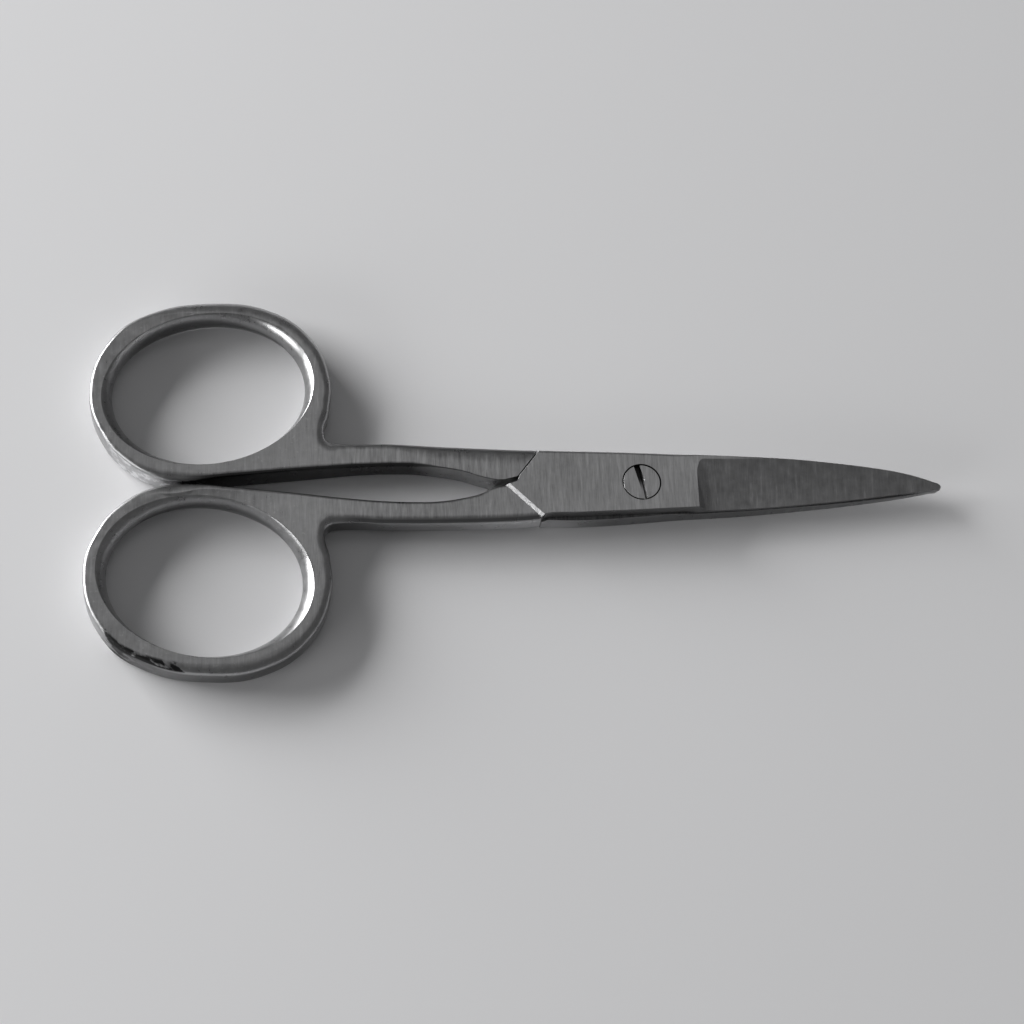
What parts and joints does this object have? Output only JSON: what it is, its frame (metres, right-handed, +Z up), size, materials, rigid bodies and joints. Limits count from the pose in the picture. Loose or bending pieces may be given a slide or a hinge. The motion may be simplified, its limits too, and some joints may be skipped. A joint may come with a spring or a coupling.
{
  "type": "nail scissors",
  "caption": "Small straight nail scissors with oval finger loops, a lapped box joint and a slotted pivot screw.",
  "frame": {"origin": "middle of the closed scissors' length and width, on the plane that they lie on", "axes": "+X towards the blade tips, +Y towards the bottom half's finger loop, +Z up through the thickness"},
  "size_m": [0.09, 0.0428, 0.0033],
  "materials": {
    "bottom_half_steel": "satin ground stainless steel, polished on the rounded edges",
    "top_half_steel": "satin ground stainless steel, polished on the rounded edges",
    "screw_steel": "satin turned steel, dark in the slot"
  },
  "bodies": {
    "bottom": {"bottom_half": "bottom_half_steel", "pivot_screw": "screw_steel"},
    "top": {"top_half": "top_half_steel"}
  },
  "joints": [
    {"name": "blade_pivot", "type": "hinge", "parent": "bottom", "child": "top", "pos_m": [0.0126, 0, 0.00165], "axis": [0, 0, 1], "range_deg": [0, 140]}
  ]
}
